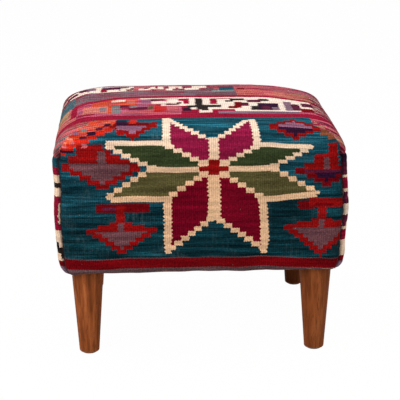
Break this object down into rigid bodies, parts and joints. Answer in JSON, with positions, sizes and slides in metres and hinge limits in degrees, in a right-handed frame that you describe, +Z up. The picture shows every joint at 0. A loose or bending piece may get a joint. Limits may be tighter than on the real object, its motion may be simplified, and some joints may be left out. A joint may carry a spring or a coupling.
{
  "type": "upholstered footstool",
  "caption": "Low upholstered footstool: a soft rounded box in a flat-woven kilim cover with a stepped star, on turned tapered wooden legs that unscrew.",
  "frame": {"origin": "on the floor under the middle of the seat", "axes": "+Z up, front towards -Y, width along X"},
  "size_m": [0.487, 0.424, 0.4],
  "materials": {
    "kilim": "flat-woven wool, matt",
    "thread": "waxed sewing thread",
    "leg_wood": "walnut stain, satin lacquer",
    "frame_wood": "planed softwood",
    "plywood": "sanded plywood",
    "foam": "open-cell polyurethane foam",
    "wadding": "bonded polyester wadding",
    "cambric": "black non-woven cloth",
    "felt": "pressed felt",
    "zinc_steel": "bright zinc plate",
    "staple_steel": "galvanised wire"
  },
  "bodies": {
    "frame": {"kilim_cover": "kilim", "corner_seam_threads": "thread", "wadding": "wadding", "seat_foam": "foam", "seat_deck": "plywood", "dust_cover": "cambric", "hem_staples": "staple_steel", "dust_cover_staples": "staple_steel", "rail_screws": "zinc_steel", "block_screws": "zinc_steel", "deck_screws": "zinc_steel", "t_nuts": "zinc_steel", "front_rail": "frame_wood", "back_rail": "frame_wood", "left_rail": "frame_wood", "right_rail": "frame_wood", "front_padding": "foam", "back_padding": "foam", "left_padding": "foam", "right_padding": "foam", "corner_block_front_left": "frame_wood", "corner_block_front_right": "frame_wood", "corner_block_back_left": "frame_wood", "corner_block_back_right": "frame_wood"},
    "washer_front_left": {"leg_washer_front_left": "zinc_steel"},
    "leg_front_left": {"leg_front_left": "leg_wood", "hanger_bolt_front_left": "zinc_steel", "felt_pad_front_left": "felt"},
    "washer_front_right": {"leg_washer_front_right": "zinc_steel"},
    "leg_front_right": {"leg_front_right": "leg_wood", "hanger_bolt_front_right": "zinc_steel", "felt_pad_front_right": "felt"},
    "washer_back_left": {"leg_washer_back_left": "zinc_steel"},
    "leg_back_left": {"leg_back_left": "leg_wood", "hanger_bolt_back_left": "zinc_steel", "felt_pad_back_left": "felt"},
    "washer_back_right": {"leg_washer_back_right": "zinc_steel"},
    "leg_back_right": {"leg_back_right": "leg_wood", "hanger_bolt_back_right": "zinc_steel", "felt_pad_back_right": "felt"}
  },
  "joints": [
    {"name": "leg_front_left_thread", "type": "slide", "parent": "frame", "child": "washer_front_left", "axis": [0, 0, -1], "range_m": [0, 0.01]},
    {"name": "leg_front_left_turn", "type": "hinge", "parent": "washer_front_left", "child": "leg_front_left", "pos_m": [-0.1915, -0.168, 0.151], "axis": [0, 0, -1], "range_deg": [0, 2880]},
    {"name": "leg_front_right_thread", "type": "slide", "parent": "frame", "child": "washer_front_right", "axis": [0, 0, -1], "range_m": [0, 0.01]},
    {"name": "leg_front_right_turn", "type": "hinge", "parent": "washer_front_right", "child": "leg_front_right", "pos_m": [0.1915, -0.168, 0.151], "axis": [0, 0, -1], "range_deg": [0, 2880]},
    {"name": "leg_back_left_thread", "type": "slide", "parent": "frame", "child": "washer_back_left", "axis": [0, 0, -1], "range_m": [0, 0.01]},
    {"name": "leg_back_left_turn", "type": "hinge", "parent": "washer_back_left", "child": "leg_back_left", "pos_m": [-0.1915, 0.168, 0.151], "axis": [0, 0, -1], "range_deg": [0, 2880]},
    {"name": "leg_back_right_thread", "type": "slide", "parent": "frame", "child": "washer_back_right", "axis": [0, 0, -1], "range_m": [0, 0.01]},
    {"name": "leg_back_right_turn", "type": "hinge", "parent": "washer_back_right", "child": "leg_back_right", "pos_m": [0.1915, 0.168, 0.151], "axis": [0, 0, -1], "range_deg": [0, 2880]}
  ],
  "couplings": [
    {"joint": "leg_front_left_thread", "follows": "leg_front_left_turn", "m_per_rad": 0.00019894},
    {"joint": "leg_front_right_thread", "follows": "leg_front_right_turn", "m_per_rad": 0.00019894},
    {"joint": "leg_back_left_thread", "follows": "leg_back_left_turn", "m_per_rad": 0.00019894},
    {"joint": "leg_back_right_thread", "follows": "leg_back_right_turn", "m_per_rad": 0.00019894}
  ]
}
